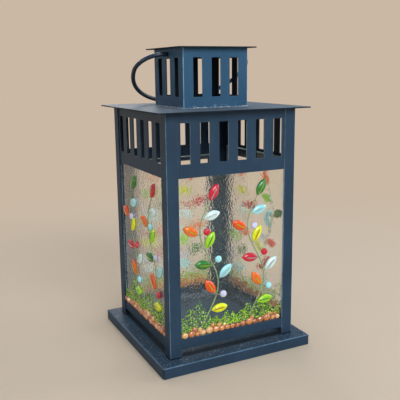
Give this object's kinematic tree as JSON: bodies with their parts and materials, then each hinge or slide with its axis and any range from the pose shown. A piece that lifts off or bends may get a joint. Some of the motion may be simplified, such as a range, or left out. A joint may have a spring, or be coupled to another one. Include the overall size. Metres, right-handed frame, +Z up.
{
  "type": "candle lantern",
  "caption": "Square candle lantern of painted sheet steel with decorated glass panes, a slotted chimney, a wire carrying handle and a hinged back door.",
  "frame": {"origin": "middle of the base, on the surface that the lantern stands on", "axes": "+Z up, front towards -Y, door at the back towards +Y, handle pivots along X"},
  "size_m": [0.152, 0.152, 0.28],
  "materials": {
    "black_paint": "satin",
    "bare_steel": "satin",
    "clear_glass": "rippled",
    "leaf_glass": "gloss",
    "berry_glass": "gloss"
  },
  "bodies": {
    "lantern": {"base_tray": "black_paint", "roof_plate": "black_paint", "chimney": "black_paint", "chimney_cap": "black_paint", "post_front_left": "black_paint", "post_front_right": "black_paint", "post_back_right": "black_paint", "post_back_left": "black_paint", "front_panel": "black_paint", "front_pane": "clear_glass", "front_pane_leaves": "leaf_glass", "front_pane_berries": "berry_glass", "left_panel": "black_paint", "left_pane": "clear_glass", "left_pane_leaves": "leaf_glass", "left_pane_berries": "berry_glass", "right_panel": "black_paint", "right_pane": "clear_glass", "right_pane_leaves": "leaf_glass", "right_pane_berries": "berry_glass", "lower_hinge_post_leaf": "black_paint", "lower_hinge_pin": "bare_steel", "upper_hinge_post_leaf": "black_paint", "upper_hinge_pin": "bare_steel", "turn_button_stud": "bare_steel", "door_stop": "black_paint"},
    "door": {"door_frame": "black_paint", "door_pane": "clear_glass", "door_pane_leaves": "leaf_glass", "door_pane_berries": "berry_glass", "door_knob": "black_paint", "lower_hinge_door_leaf": "black_paint", "upper_hinge_door_leaf": "black_paint"},
    "handle": {"handle": "black_paint"},
    "turn_button": {"turn_button": "bare_steel"}
  },
  "joints": [
    {"name": "handle_swing", "type": "hinge", "parent": "lantern", "child": "handle", "pos_m": [0, 0, 0.2742], "axis": [1, 0, 0], "range_deg": [0, 251.5]},
    {"name": "door_swing", "type": "hinge", "parent": "lantern", "child": "door", "pos_m": [0.05262, 0.0665, 0.1], "axis": [0, 0, -1], "range_deg": [0, 170]},
    {"name": "turn_button_turn", "type": "hinge", "parent": "lantern", "child": "turn_button", "pos_m": [-0.0585, 0.065, 0.1035], "axis": [0, -1, 0], "range_deg": [0, 90]}
  ]
}
